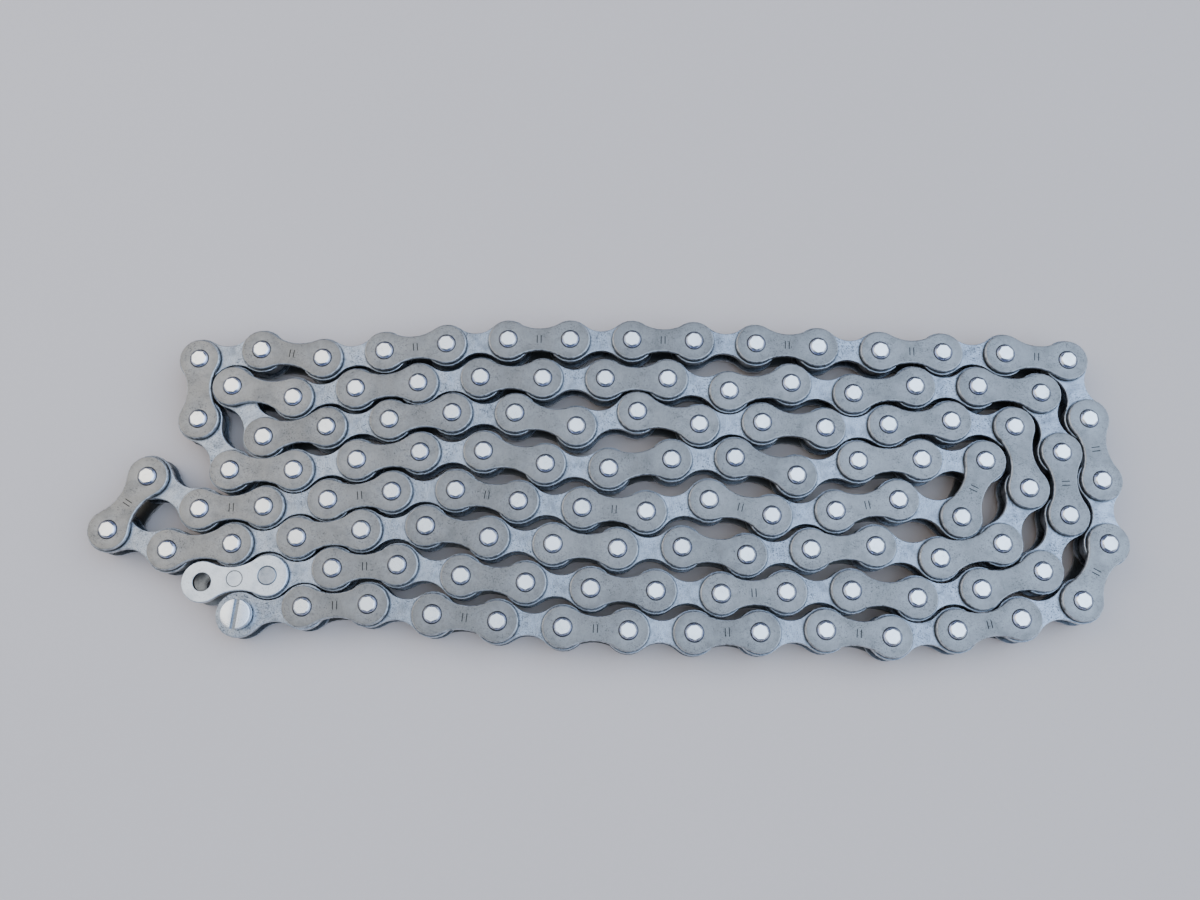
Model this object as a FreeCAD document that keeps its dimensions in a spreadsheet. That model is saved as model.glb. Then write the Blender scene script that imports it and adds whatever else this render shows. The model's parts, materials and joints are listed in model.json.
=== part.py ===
import FreeCAD, Part
import math
import os
import Sketcher

# Roller chain for a bicycle, half inch pitch, lying folded in eight rows with its
# screw-type connecting link open.  Millimetres, +Z up, pins upright.  The chain has
# outer links (two plates riveted on two pins) and inner links (two plates pressed on
# two bushes, each bush carrying a loose roller) in turn.

SIZES = (
    ("pitch", 12.7, "pin centre to pin centre"),
    ("outer_end", 8.2, "diameter of an outer plate's round end"),
    ("outer_waist", 4.7, "width of an outer plate half way along"),
    ("inner_end", 9.0, "diameter of an inner plate's round end"),
    ("inner_waist", 4.2, "width of an inner plate half way along"),
    ("outer_thick", 1.0, "thickness of an outer plate"),
    ("inner_thick", 1.0, "thickness of an inner plate"),
    ("edge_break", 0.12, "chamfer round a plate's outer face"),
    ("inner_width", 3.3, "clear width between two inner plates"),
    ("plate_play", 0.1, "gap between an inner and an outer plate"),
    ("pin_dia", 3.6, "diameter of a pin"),
    ("pin_proud", 0.55, "how far a pin's end stands out of the outer plate"),
    ("pin_break", 0.3, "chamfer of a pin's end"),
    ("bush_dia", 5.0, "outside diameter of a bush"),
    ("bush_play", 0.05, "radial clearance of a pin in its bush"),
    ("roller_dia", 7.75, "diameter of a roller"),
    ("roller_play", 0.05, "radial clearance of a roller on its bush"),
    ("roller_side_play", 0.1, "gap between a roller and an inner plate"),
    ("roller_break", 0.25, "chamfer of a roller's edges"),
    ("screw_play", 0.05, "radial clearance of the screw's shank in the upper plate"),
    ("head_dia", 5.9, "diameter of the screw's head"),
    ("head_height", 1.5, "height of the screw's head"),
    ("head_break", 0.2, "chamfer of the screw's head"),
    ("slot_width", 1.1, "width of the driver slot"),
    ("slot_depth", 0.7, "depth of the driver slot"),
    ("thread_step", 0.25, "how far the thread lies inside the screw's shank"),
    ("thread_pitch", 0.5, "distance from one thread turn to the next"),
    ("thread_depth", 0.25, "depth of the thread's grooves"),
    ("thread_flare", 0.12, "how far the grooves' sides are cut on past the thread's outside"),
    ("thread_hold", 0.2, "how far the thread reaches into the tapped hole's wall"),
    ("lay_gap", 0.2, "least gap between the plates of two rows"),
)

# Headings of the links, in degrees anticlockwise from +X, from the open connecting
# link to the end that holds the loose screw.  One line for each row or turn.
LAY = (
    (3, 7, 3, -9, -7, -5, -2, -2, 1, 1, -6, 8, 16),
    (60, 91, 105),
    (172, 182, 186, 172, 187, 168, 179, 180, 179, 185, 185, 187, 170),
    (304,),
    (368, 367, 366, 360, 349, 371, 351, 360, 357, 361, 362, 357),
    (277, 242),
    (191, 173, 181, 183, 176, 179, 177, 175, 170, 183, 185, 188, 185, 162),
    (58, -31),
    (2, 8, 6, 1, -12, -5, -3, 11, -15, 5, 10, -16),
    (63,),
    (178, 181, 194, 163, 180, 190, 176, 168, 181, 187, 190, 181),
    (124, 95),
    (9, -10, 10, 7, 5, -1, 0, -1, -3, -3, -5, -1, -1, -7),
    (-73, -85, -93, -117),
    (-163, -171, -177, -186, -176, -180, -182, -183, -186, -187, -187, -178, -173),
)
SETTLE_ROUNDS = 400
SETTLE_LIMIT = 0.004
LENGTH_ROUNDS = 4

FIRST_FREE_LINK = 102  # from here on each link is a body of its own
LAST_FRONT_LINK = 15   # the row that lies beside the free links ends here
SLOT_HEADING = 84.0    # direction of the driver slot, in degrees from +X

# Lengths that follow from the sizes, as formulas over the sheet.
BUSH_LENGTH = "(Sizes.inner_width + 2 * Sizes.inner_thick)"
OVER_OUTER = f"({BUSH_LENGTH} + 2 * (Sizes.plate_play + Sizes.outer_thick))"
PIN_LENGTH = f"({OVER_OUTER} + 2 * Sizes.pin_proud)"
ROLLER_LENGTH = "(Sizes.inner_width - 2 * Sizes.roller_side_play)"
SHANK_RADIUS = "(Sizes.pin_dia / 2 - Sizes.screw_play)"
THREAD_RADIUS = f"({SHANK_RADIUS} - Sizes.thread_step)"
TAPPED_DIA = f"(2 * ({THREAD_RADIUS} - Sizes.thread_hold))"


# ---------------------------------------------------------------- sheet and sketches


def make_sheet(doc):
    sheet = doc.addObject("Spreadsheet::Sheet", "Sizes")
    for row, (alias, value, note) in enumerate(SIZES, 1):
        sheet.set(f"A{row}", alias)
        sheet.set(f"B{row}", str(value))
        sheet.setAlias(f"B{row}", alias)
        sheet.set(f"C{row}", note)
    doc.recompute()
    return sheet


def new_body(doc, name):
    body = doc.addObject("PartDesign::Body", name)
    doc.recompute()
    return body


def new_sketch(body, name, role="XY_Plane"):
    sketch = body.newObject("Sketcher::SketchObject", name)
    plane = next(f for f in body.Origin.OriginFeatures if f.Role == role)
    sketch.AttachmentSupport = [(plane, "")]
    sketch.MapMode = "FlatFace"
    return sketch


def bind(item, sizes):
    for prop, formula in sizes.items():
        item.setExpression(prop, formula)


def named(sketch, name, *constraint):
    index = sketch.addConstraint(Sketcher.Constraint(*constraint))
    sketch.renameConstraint(index, name)


def circle_sketch(body, name, diameter_formula):
    """A circle round the origin, its diameter bound to the sheet."""
    sketch = new_sketch(body, name)
    sketch.addGeometry(Part.Circle(FreeCAD.Vector(0, 0, 0), FreeCAD.Vector(0, 0, 1), 1.0))
    sketch.addConstraint(Sketcher.Constraint("Coincident", 0, 3, -1, 1))
    named(sketch, "across", "Diameter", 0, 2.0)
    bind(sketch, {"Constraints.across": diameter_formula})
    return sketch


def profile_sketch(body, name, corners):
    """A closed profile on the XZ plane.  Each corner is a pair of formulas for x, z."""
    sketch = new_sketch(body, name, "XZ_Plane")
    count = len(corners)
    angles = [math.tau * k / count for k in range(count)]
    start = [FreeCAD.Vector(math.cos(angle), math.sin(angle), 0) for angle in angles]
    for k in range(count):
        sketch.addGeometry(Part.LineSegment(start[k], start[(k + 1) % count]))
    for k in range(count):
        sketch.addConstraint(Sketcher.Constraint("Coincident", k, 2, (k + 1) % count, 1))
    for k, (x_formula, z_formula) in enumerate(corners):
        named(sketch, f"x{k}", "DistanceX", -1, 1, k, 1, start[k].x)
        named(sketch, f"z{k}", "DistanceY", -1, 1, k, 1, start[k].y)
        bind(sketch, {f"Constraints.x{k}": x_formula, f"Constraints.z{k}": z_formula})
    return sketch


# ------------------------------------------------------------------- single pieces


def outline_sketch(body, sheet, name, end, waist, left_hole, right_hole):
    """A plate's outline: two round ends joined by two hollow arcs, and its two holes."""
    half_pitch = sheet.get("pitch") / 2
    end_radius = sheet.get(end) / 2
    half_waist = sheet.get(waist) / 2
    hollow = (half_pitch**2 + half_waist**2 - end_radius**2) / (2 * (end_radius - half_waist))
    hollow_y = half_waist + hollow
    lean = math.atan2(hollow_y, half_pitch)
    axis = FreeCAD.Vector(0, 0, 1)
    arcs = (
        (half_pitch, 0, end_radius, lean - math.pi, math.pi - lean),
        (0, hollow_y, hollow, lean - math.pi, -lean),
        (-half_pitch, 0, end_radius, lean, 2 * math.pi - lean),
        (0, -hollow_y, hollow, lean, math.pi - lean),
    )
    sketch = new_sketch(body, name)
    for x, y, radius, start, stop in arcs:
        circle = Part.Circle(FreeCAD.Vector(x, y, 0), axis, radius)
        sketch.addGeometry(Part.ArcOfCircle(circle, start, stop))
    for x, hole in ((-half_pitch, left_hole), (half_pitch, right_hole)):
        sketch.addGeometry(Part.Circle(FreeCAD.Vector(x, 0, 0), axis, 1.0))
    for rule in (
        ("Tangent", 0, 2, 1, 2),
        ("Tangent", 1, 1, 2, 1),
        ("Tangent", 2, 2, 3, 2),
        ("Tangent", 3, 1, 0, 1),
        ("PointOnObject", 0, 3, -1),
        ("Symmetric", 0, 3, 2, 3, -1, 1),
        ("Equal", 0, 2),
        ("Equal", 1, 3),
        ("Coincident", 4, 3, 2, 3),
        ("Coincident", 5, 3, 0, 3),
    ):
        sketch.addConstraint(Sketcher.Constraint(*rule))
    named(sketch, "pitch", "DistanceX", 2, 3, 0, 3, 2 * half_pitch)
    named(sketch, "end_radius", "Radius", 0, end_radius)
    named(sketch, "hollow_radius", "Radius", 1, hollow)
    named(sketch, "left_hole", "Diameter", 4, 2.0)
    named(sketch, "right_hole", "Diameter", 5, 2.0)
    bind(sketch, {
        "Constraints.pitch": "Sizes.pitch",
        "Constraints.end_radius": f"Sizes.{end} / 2",
        "Constraints.hollow_radius":
            f"(Sizes.pitch ^ 2 + Sizes.{waist} ^ 2 - Sizes.{end} ^ 2)"
            f" / (4 * (Sizes.{end} - Sizes.{waist}))",
        "Constraints.left_hole": left_hole,
        "Constraints.right_hole": right_hole,
    })
    return sketch


def edge_names(shape, wanted):
    return [f"Edge{k}" for k, edge in enumerate(shape.Edges, 1)
            if any(edge.isSame(other) for other in wanted)]


def pad(body, sketch, name, length_formula):
    feature = body.newObject("PartDesign::Pad", name)
    feature.Profile = sketch
    bind(feature, {"Length": length_formula})
    sketch.Visibility = False
    return feature


def chamfer(body, base, name, edges, size_formula):
    feature = body.newObject("PartDesign::Chamfer", name)
    feature.Base = (base, edge_names(base.Shape, edges))
    bind(feature, {"Size": size_formula})
    return feature


def make_plate(doc, sheet, name, kind, left_hole, right_hole):
    """A plate lying on XY with its outer face up; kind is outer or inner."""
    body = new_body(doc, name)
    sketch = outline_sketch(body, sheet, f"{name}_outline", f"{kind}_end", f"{kind}_waist",
                            left_hole, right_hole)
    slab = pad(body, sketch, f"{name}_slab", f"Sizes.{kind}_thick")
    doc.recompute()
    top = max(slab.Shape.Faces, key=lambda face: face.CenterOfMass.z)
    chamfer(body, slab, f"{name}_edge", top.OuterWire.Edges, "Sizes.edge_break")
    return body


def make_peg(doc, name, length_formula, break_formula):
    """A plain round pin standing on XY, both ends chamfered."""
    body = new_body(doc, name)
    peg = pad(body, circle_sketch(body, f"{name}_round", "Sizes.pin_dia"), f"{name}_bar",
              length_formula)
    doc.recompute()
    rims = [edge for edge in peg.Shape.Edges if edge.Closed]
    chamfer(body, peg, f"{name}_ends", rims, break_formula)
    return body


def revolve(body, sketch, name, kind="Revolution"):
    feature = body.newObject(f"PartDesign::{kind}", name)
    feature.Profile = sketch
    feature.ReferenceAxis = (sketch, ["V_Axis"])
    feature.Angle = 360.0
    sketch.Visibility = False
    return feature


def make_bush(doc):
    body = new_body(doc, "bush")
    inside = "Sizes.pin_dia / 2 + Sizes.bush_play"
    outside = "Sizes.bush_dia / 2"
    corners = ((inside, "0"), (outside, "0"), (outside, BUSH_LENGTH), (inside, BUSH_LENGTH))
    revolve(body, profile_sketch(body, "bush_section", corners), "bush_tube")
    return body


def make_roller(doc):
    body = new_body(doc, "roller")
    inside = "Sizes.bush_dia / 2 + Sizes.roller_play"
    outside = "Sizes.roller_dia / 2"
    eased = f"{outside} - Sizes.roller_break"
    corners = (
        (inside, "0"),
        (eased, "0"),
        (outside, "Sizes.roller_break"),
        (outside, f"{ROLLER_LENGTH} - Sizes.roller_break"),
        (eased, ROLLER_LENGTH),
        (inside, ROLLER_LENGTH),
    )
    revolve(body, profile_sketch(body, "roller_section", corners), "roller_ring")
    return body


def make_screw(doc, sheet):
    """The connecting link's screw, its threaded tip on XY and its head up."""
    body = new_body(doc, "screw_master")
    head_top = f"{OVER_OUTER} + Sizes.head_height"
    shoulder = "Sizes.outer_thick + Sizes.plate_play"
    corners = (
        ("0", "0"),
        (THREAD_RADIUS, "0"),
        (THREAD_RADIUS, shoulder),
        (SHANK_RADIUS, shoulder),
        (SHANK_RADIUS, OVER_OUTER),
        ("Sizes.head_dia / 2", OVER_OUTER),
        ("Sizes.head_dia / 2", f"{head_top} - Sizes.head_break"),
        ("Sizes.head_dia / 2 - Sizes.head_break", head_top),
        ("0", head_top),
    )
    revolve(body, profile_sketch(body, "screw_section", corners), "screw_blank")
    doc.recompute()
    cut_slot(doc, body)
    cut_thread(doc, body, sheet)
    return body


def cut_slot(doc, body):
    """The driver slot right across the head; its plan is longer than the head is wide."""
    blank_volume = body.Shape.Volume
    sketch = new_sketch(body, "slot_plan")
    corner = ((-1, -1), (1, -1), (1, 1), (-1, 1))
    for k in range(4):
        start, stop = corner[k], corner[(k + 1) % 4]
        sketch.addGeometry(Part.LineSegment(FreeCAD.Vector(*start, 0), FreeCAD.Vector(*stop, 0)))
    for rule in (
        ("Coincident", 0, 2, 1, 1),
        ("Coincident", 1, 2, 2, 1),
        ("Coincident", 2, 2, 3, 1),
        ("Coincident", 3, 2, 0, 1),
        ("Horizontal", 0),
        ("Vertical", 1),
        ("Symmetric", 0, 1, 1, 2, -1, 1),
        ("Vertical", 3),
    ):
        sketch.addConstraint(Sketcher.Constraint(*rule))
    named(sketch, "length", "DistanceX", 0, 1, 0, 2, 2.0)
    named(sketch, "width", "DistanceY", 1, 1, 1, 2, 2.0)
    bind(sketch, {
        "Constraints.length": "Sizes.head_dia + 2 * Sizes.head_break",
        "Constraints.width": "Sizes.slot_width",
        "AttachmentOffset.Base.z": f"{OVER_OUTER} + Sizes.head_height",
    })
    slot = body.newObject("PartDesign::Pocket", "slot")
    slot.Profile = sketch
    bind(slot, {"Length": "Sizes.slot_depth"})
    sketch.Visibility = False
    doc.recompute()
    if not body.Shape.Volume < blank_volume:
        raise RuntimeError("the driver slot cuts nothing")


def cut_thread(doc, body, sheet):
    """The thread as a row of equal V grooves, with a narrow flat crest between them."""
    plain_volume = body.Shape.Volume
    turns = round((sheet.get("outer_thick") + sheet.get("plate_play")) / sheet.get("thread_pitch"))
    crest = f"{THREAD_RADIUS} + Sizes.thread_flare"
    root = f"{THREAD_RADIUS} - Sizes.thread_depth"
    corners = ((crest, "0"), (root, "Sizes.thread_pitch / 2"), (crest, "Sizes.thread_pitch"))
    groove = revolve(body, profile_sketch(body, "thread_section", corners), "thread_groove",
                     "Groove")
    doc.recompute()
    rows = body.newObject("PartDesign::LinearPattern", "thread_rows")
    rows.Originals = [groove]
    rows.Direction = (groove.Profile[0], ["V_Axis"])
    rows.Occurrences = turns
    bind(rows, {"Length": f"Sizes.thread_pitch * {turns - 1}"})
    body.Tip = rows
    doc.recompute()
    if not body.Shape.Volume < plain_volume:
        raise RuntimeError("the thread cuts nothing")


# ------------------------------------------------------------------- lie of the chain


def walk(headings, pitch):
    x = y = 0.0
    pins = [(x, y)]
    for heading in headings:
        x += pitch * math.cos(math.radians(heading))
        y += pitch * math.sin(math.radians(heading))
        pins.append((x, y))
    return pins


def part_points(points, first, others, room):
    """Push the point first and the middle of the points others apart to the distance room."""
    x, y = points[first]
    dx = sum(points[k][0] for k in others) / len(others) - x
    dy = sum(points[k][1] for k in others) / len(others) - y
    if abs(dx) >= room or abs(dy) >= room or math.hypot(dx, dy) >= room:
        return 0.0
    short = room - math.hypot(dx, dy)
    push = short / 2 / math.hypot(dx, dy)
    points[first] = (x - push * dx, y - push * dy)
    for k in others:
        points[k] = (points[k][0] + push * dx, points[k][1] + push * dy)
    return short


def even_lengths(points, pitch):
    for k in range(len(points) - 1):
        (ax, ay), (bx, by) = points[k], points[k + 1]
        length = math.hypot(bx - ax, by - ay)
        pull = (length - pitch) / 2 / length
        points[k] = (ax + pull * (bx - ax), ay + pull * (by - ay))
        points[k + 1] = (bx - pull * (bx - ax), by - pull * (by - ay))


def settle(points, pitch, end_room, waist_room):
    """Ease the rows apart until no plate's end meets another row's ends or waists."""
    count = len(points)
    for _ in range(SETTLE_ROUNDS):
        worst = 0.0
        for k in range(count):
            for other in range(k + 2, count):
                worst = max(worst, part_points(points, k, (other,), end_room))
            for link in range(count - 1):
                if link not in (k - 1, k):
                    worst = max(worst, part_points(points, k, (link, link + 1), waist_room))
        for _ in range(LENGTH_ROUNDS):
            even_lengths(points, pitch)
        if worst < SETTLE_LIMIT:
            break
    return points


def lay_chain(sheet):
    """Pin centres along the chain and the headings of its links, centred on the origin."""
    size = sheet.get
    end_room = max(size("inner_end"), size("outer_end"), size("roller_dia")) + size("lay_gap")
    waist_room = size("lay_gap") + max(
        (size("inner_end") + size("inner_waist")) / 2,
        (size("outer_end") + size("outer_waist")) / 2,
    )
    hand_laid = walk([heading for row in LAY for heading in row], size("pitch"))
    eased = settle(hand_laid, size("pitch"), end_room, waist_room)
    headings = [math.degrees(math.atan2(b[1] - a[1], b[0] - a[0]))
                for a, b in zip(eased, eased[1:])]
    pins = walk(headings, size("pitch"))
    middle = [(min(p[k] for p in pins) + max(p[k] for p in pins)) / 2 for k in (0, 1)]
    return [(x - middle[0], y - middle[1]) for x, y in pins], headings


# --------------------------------------------------------------------------- nodes


class Levels:
    """Heights measured from the chain's middle plane, and that plane's own height."""

    def __init__(self, sheet):
        self.inner = sheet.get("inner_width") / 2
        self.outer = self.inner + sheet.get("inner_thick") + sheet.get("plate_play")
        self.face = self.outer + sheet.get("outer_thick")
        self.middle = self.face + sheet.get("pin_proud")
        self.bush = self.inner + sheet.get("inner_thick")
        self.roller = self.inner - sheet.get("roller_side_play")


def upright(x, y, z, heading=0.0):
    turn = FreeCAD.Rotation(FreeCAD.Vector(0, 0, 1), heading)
    return FreeCAD.Placement(FreeCAD.Vector(x, y, z), turn)


def face_down(x, y, z, heading):
    """Turned over about the link's long axis, so that the outer face looks down."""
    turn = FreeCAD.Rotation(FreeCAD.Vector(0, 0, 1), heading)
    over = FreeCAD.Rotation(FreeCAD.Vector(1, 0, 0), 180)
    return FreeCAD.Placement(FreeCAD.Vector(x, y, z), turn * over)


def add_node(doc, label, pieces):
    """One node: placed copies of single pieces, each (body, placement)."""
    copies = []
    for k, (body, placement) in enumerate(pieces, 1):
        copy = doc.addObject("App::Link", f"{label}_{k}")
        copy.LinkedObject = body
        copy.LinkTransform = False
        copy.Placement = placement
        copies.append(copy)
    node = doc.addObject("Part::Compound", f"node_{label}")
    node.Label = label
    node.Links = copies
    return node


class Chain:
    """The laid chain: says where each piece of each link goes."""

    def __init__(self, sheet, pieces):
        self.pins, self.headings = lay_chain(sheet)
        self.level = Levels(sheet)
        self.pieces = pieces

    def middle(self, link):
        (ax, ay), (bx, by) = self.pins[link], self.pins[link + 1]
        return (ax + bx) / 2, (ay + by) / 2

    def plates(self, links, kind):
        """Upper and lower plates of the links, which are all outer or all inner."""
        base = getattr(self.level, kind)
        body = self.pieces[f"{kind}_plate"]
        placed = []
        for link in links:
            x, y = self.middle(link)
            heading = self.headings[link]
            placed.append((body, upright(x, y, self.level.middle + base, heading)))
            placed.append((body, face_down(x, y, self.level.middle - base, heading)))
        return placed

    def round_pieces(self, name, spots, half_height):
        z = self.level.middle - half_height
        return [(self.pieces[name], upright(*self.pins[spot], z)) for spot in spots]


def pins_of(links):
    return [spot for link in links for spot in (link, link + 1)]


def coil_nodes(doc, chain):
    """The folded run that stays put: links 1 to 101, grouped by kind of piece."""
    outer = range(2, FIRST_FREE_LINK, 2)
    inner = range(1, FIRST_FREE_LINK, 2)
    level = chain.level
    groups = {
        "front_outer_plates": chain.plates([k for k in outer if k <= LAST_FRONT_LINK], "outer"),
        "front_inner_plates": chain.plates([k for k in inner if k <= LAST_FRONT_LINK], "inner"),
        "coil_outer_plates": chain.plates([k for k in outer if k > LAST_FRONT_LINK], "outer"),
        "coil_inner_plates": chain.plates([k for k in inner if k > LAST_FRONT_LINK], "inner"),
        "coil_pins": chain.round_pieces("pin", pins_of(outer), level.middle),
        "coil_bushes": chain.round_pieces("bush", pins_of(inner), level.bush),
        "coil_rollers": chain.round_pieces("roller", pins_of(inner), level.roller),
    }
    return [add_node(doc, label, pieces) for label, pieces in groups.items()]


def free_run_nodes(doc, chain):
    """The outermost run, link by link, down to the end with the loose screw."""
    nodes = []
    level = chain.level
    for number, link in enumerate(range(FIRST_FREE_LINK, len(chain.headings)), 1):
        name = f"link{number:02d}"
        if link % 2 == 0:
            nodes.append(add_node(doc, f"{name}_outer_plates", chain.plates([link], "outer")))
            pins = chain.round_pieces("pin", pins_of([link]), level.middle)
            nodes.append(add_node(doc, f"{name}_pins", pins))
            continue
        nodes.append(add_node(doc, f"{name}_inner_plates", chain.plates([link], "inner")))
        bushes = chain.round_pieces("bush", pins_of([link]), level.bush)
        nodes.append(add_node(doc, f"{name}_bushes", bushes))
        for side, spot in zip(("near", "far"), pins_of([link])):
            roller = chain.round_pieces("roller", [spot], level.roller)
            nodes.append(add_node(doc, f"{name}_roller_{side}", roller))
    return nodes


def connecting_nodes(doc, chain):
    """The open connecting link: two plates, the pin riveted in them, and the screw."""
    level = chain.level
    pieces = chain.pieces
    x, y = chain.middle(0)
    heading = chain.headings[0]
    upper = upright(x, y, level.middle + level.outer, heading)
    lower = face_down(x, y, level.middle - level.outer, heading)
    rivet = upright(*chain.pins[1], level.middle - level.face)
    screw = upright(*chain.pins[-1], 0, SLOT_HEADING)
    return [
        add_node(doc, "connecting_plate_upper", [(pieces["outer_plate"], upper)]),
        add_node(doc, "connecting_plate_lower", [(pieces["lower_plate"], lower)]),
        add_node(doc, "connecting_pin", [(pieces["rivet"], rivet)]),
        add_node(doc, "connecting_screw", [(pieces["screw"], screw)]),
    ]


# --------------------------------------------------------------------------- model


def make_pieces(doc, sheet):
    """One body for each different piece of the chain, in its own frame."""
    pin_hole = "Sizes.pin_dia"
    bush_hole = "Sizes.bush_dia"
    return {
        "outer_plate": make_plate(doc, sheet, "outer_plate", "outer", pin_hole, pin_hole),
        "inner_plate": make_plate(doc, sheet, "inner_plate", "inner", bush_hole, bush_hole),
        "lower_plate": make_plate(doc, sheet, "lower_plate", "outer", TAPPED_DIA, pin_hole),
        "pin": make_peg(doc, "pin", PIN_LENGTH, "Sizes.pin_break"),
        "rivet": make_peg(doc, "rivet", OVER_OUTER, "Sizes.edge_break"),
        "bush": make_bush(doc),
        "roller": make_roller(doc),
        "screw": make_screw(doc, sheet),
    }


def check(doc, nodes):
    failed = [item.Name for item in doc.Objects
              if "Invalid" in item.State or "Error" in item.State]
    if failed:
        raise RuntimeError(f"objects not built: {failed}")
    for node in nodes:
        if node.Shape.isNull() or not node.Shape.isValid() or not node.Shape.Solids:
            raise RuntimeError(f"bad shape: {node.Label}")


def main():
    doc = FreeCAD.newDocument("RollerChain")
    sheet = make_sheet(doc)
    chain = Chain(sheet, make_pieces(doc, sheet))
    nodes = coil_nodes(doc, chain) + free_run_nodes(doc, chain) + connecting_nodes(doc, chain)
    doc.recompute()
    check(doc, nodes)
    os.makedirs("parts", exist_ok=True)
    for node in nodes:
        node.Shape.exportStep(f"parts/{node.Label}.step")
        print(node.Label, len(node.Shape.Solids), "solids", round(node.Shape.Volume, 2), "mm3")


if __name__ == "__main__":
    main()
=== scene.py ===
import json
import math

import bmesh
import bpy
from bpy.props import FloatProperty, FloatVectorProperty, IntProperty, PointerProperty
from mathutils import Matrix, Vector

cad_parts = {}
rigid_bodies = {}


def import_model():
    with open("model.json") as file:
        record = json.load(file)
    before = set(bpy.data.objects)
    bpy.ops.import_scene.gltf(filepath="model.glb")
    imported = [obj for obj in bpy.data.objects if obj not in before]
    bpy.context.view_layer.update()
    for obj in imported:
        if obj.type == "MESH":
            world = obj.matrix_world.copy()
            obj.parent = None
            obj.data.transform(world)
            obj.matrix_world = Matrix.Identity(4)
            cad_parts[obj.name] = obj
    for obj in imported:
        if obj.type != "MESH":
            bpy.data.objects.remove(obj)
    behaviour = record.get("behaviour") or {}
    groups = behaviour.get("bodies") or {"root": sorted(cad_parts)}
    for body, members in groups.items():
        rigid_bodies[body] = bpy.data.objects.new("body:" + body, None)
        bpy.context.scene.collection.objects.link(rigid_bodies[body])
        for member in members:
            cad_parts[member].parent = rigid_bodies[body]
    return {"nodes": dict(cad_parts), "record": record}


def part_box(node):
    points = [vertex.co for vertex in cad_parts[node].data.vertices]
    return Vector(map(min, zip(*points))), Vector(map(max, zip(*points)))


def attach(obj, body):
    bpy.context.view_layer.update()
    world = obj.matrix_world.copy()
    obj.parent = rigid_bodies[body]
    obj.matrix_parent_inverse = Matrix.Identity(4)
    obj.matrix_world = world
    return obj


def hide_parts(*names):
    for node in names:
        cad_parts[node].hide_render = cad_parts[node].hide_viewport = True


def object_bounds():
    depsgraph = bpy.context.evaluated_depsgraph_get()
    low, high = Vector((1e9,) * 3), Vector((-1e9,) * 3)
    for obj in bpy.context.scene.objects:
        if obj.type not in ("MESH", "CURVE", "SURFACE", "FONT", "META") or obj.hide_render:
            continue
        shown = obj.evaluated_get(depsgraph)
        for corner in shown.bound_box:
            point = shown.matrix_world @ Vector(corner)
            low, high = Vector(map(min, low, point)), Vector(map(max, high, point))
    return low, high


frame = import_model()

bl_info = {
    "name": "Folded roller chain",
    "version": (1, 0, 0),
    "blender": (4, 5, 0),
    "location": "View3D > Sidebar > Roller Chain",
    "description": "Lays finished plates, pins, rollers and a screw over the chain's frame",
    "category": "Add Mesh",
}

CAD_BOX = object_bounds()
MM = 0.001
NODES = frame["nodes"]
BODIES = frame["record"]["behaviour"]["bodies"]
BODY_OF = {node: body for body, nodes in BODIES.items() for node in nodes}

FLOOR_SIZE = 3.0
CAMERA_LENS = 31.7
CAMERA_PLACE = (-0.00080, -0.04009, 0.21415)
CAMERA_TURN = (12.80, 0.156, 0.048)
LIGHTS = (
    ("key", (-0.50, 0.25, 0.60), (0.60, 0.60), 1.8, (1.0, 0.97, 0.92)),
)
ZENITH_WEST = (0.84, 0.85, 0.83)
ZENITH_EAST = (2.05, 2.75, 3.85)
NORTH_SOUTH = (0.10, 0.13, 0.21)
EAST_WEST = (0.86, 1.00, 1.18)


# ------------------------------------------------------------- reading the frame


def solid_boxes(node):
    """The box of each separate solid in a CAD node, as (low, high) corners, in order of place."""
    bm = bmesh.new()
    bm.from_mesh(NODES[node].data)
    bmesh.ops.remove_doubles(bm, verts=bm.verts, dist=1e-7)
    left = set(bm.verts)
    boxes = []
    while left:
        edge_of_piece = [left.pop()]
        corners = []
        while edge_of_piece:
            vert = edge_of_piece.pop()
            corners.append(vert.co.copy())
            for edge in vert.link_edges:
                other = edge.other_vert(vert)
                if other in left:
                    left.remove(other)
                    edge_of_piece.append(other)
        low = Vector(min(c[k] for c in corners) for k in range(3))
        high = Vector(max(c[k] for c in corners) for k in range(3))
        boxes.append((low, high))
    bm.free()
    return sorted(boxes, key=lambda box: tuple(box[0]))


def middle(box):
    return (box[0] + box[1]) / 2


ROLLER_NODES = [node for node in NODES if "roller" in node]
PIN_SPOTS = [middle(box).xy for node in ROLLER_NODES for box in solid_boxes(node)]
MID_HEIGHT = middle(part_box("link02_roller_near")).z
PITCH = (middle(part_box("link02_roller_far")) - middle(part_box("link02_roller_near"))).length
REACH = PITCH * 0.52
OPEN_END = "link16_inner_plates"


def across(node):
    """Size of the first solid in a CAD node whose solids are upright and round."""
    low, high = solid_boxes(node)[0]
    return (high - low).x


def thickness(node):
    low, high = solid_boxes(node)[0]
    return (high - low).z


def plate_end(node):
    """Diameter of a plate's round ends, from its box and the line through its two pins."""
    low, high = solid_boxes(node)[0]
    angle = heading_of(middle((low, high)))
    return (high - low).x - PITCH * abs(math.cos(angle))


def heading_of(centre):
    """Direction of the link whose middle is at centre, from the pins next to it."""
    near = [spot for spot in PIN_SPOTS if (spot - centre.xy).length < REACH]
    way = near[0] - centre.xy
    return math.atan2(way.y, way.x)


# --------------------------------------------------------------- settings


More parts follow.
